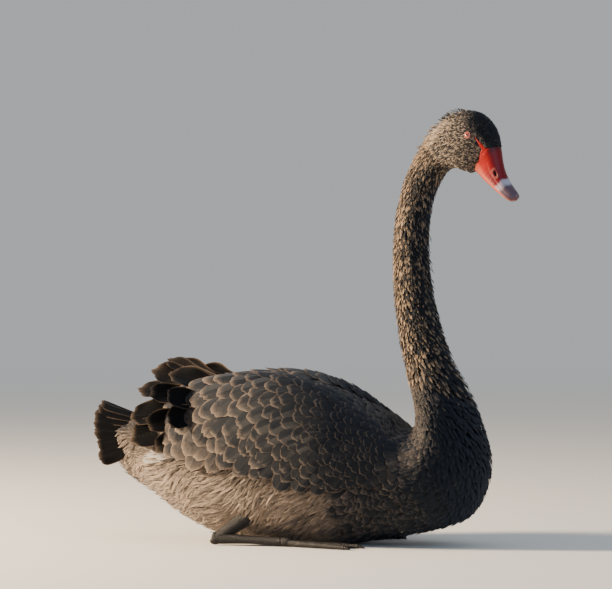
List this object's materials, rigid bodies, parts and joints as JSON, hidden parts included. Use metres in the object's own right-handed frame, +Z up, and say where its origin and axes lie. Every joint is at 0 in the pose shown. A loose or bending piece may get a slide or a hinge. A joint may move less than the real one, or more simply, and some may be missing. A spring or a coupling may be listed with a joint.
{
  "type": "black swan",
  "caption": "Life-size black swan afloat, still, long neck raised and head turned, wings folded with curled feathers over a fanned tail, feet tucked under.",
  "frame": {"origin": "under the middle of the bird's bounding box, at the level of the floor that its belly and feet rest on", "axes": "+X the way the body heads, +Y to the bird's left, +Z up"},
  "size_m": [0.6137, 0.2558, 0.5841],
  "materials": {
    "body_plumage": "soft sooty feathers, matt with a faint sheen",
    "wing_plumage": "sooty feathers with paler brown fringes",
    "bill": "waxy red horn with a pale band before the nail",
    "eye": "wet, clear, orange-red iris round a dark pupil",
    "leg_skin": "scaled slate-black skin",
    "claw": "worn dark horn"
  },
  "bodies": {
    "root": {"torso": "body_plumage", "neck_lower": "body_plumage", "neck_upper": "body_plumage", "head": "body_plumage", "wing_right": "wing_plumage", "wing_left": "wing_plumage", "tail": "wing_plumage", "bill_upper": "bill", "bill_lower": "bill", "eye_right": "eye", "eye_left": "eye", "leg_right": "leg_skin", "leg_left": "leg_skin", "foot_right": "leg_skin", "foot_left": "leg_skin", "claw_inner_right": "claw", "claw_inner_left": "claw", "claw_middle_right": "claw", "claw_middle_left": "claw", "claw_outer_right": "claw", "claw_outer_left": "claw"}
  },
  "joints": []
}
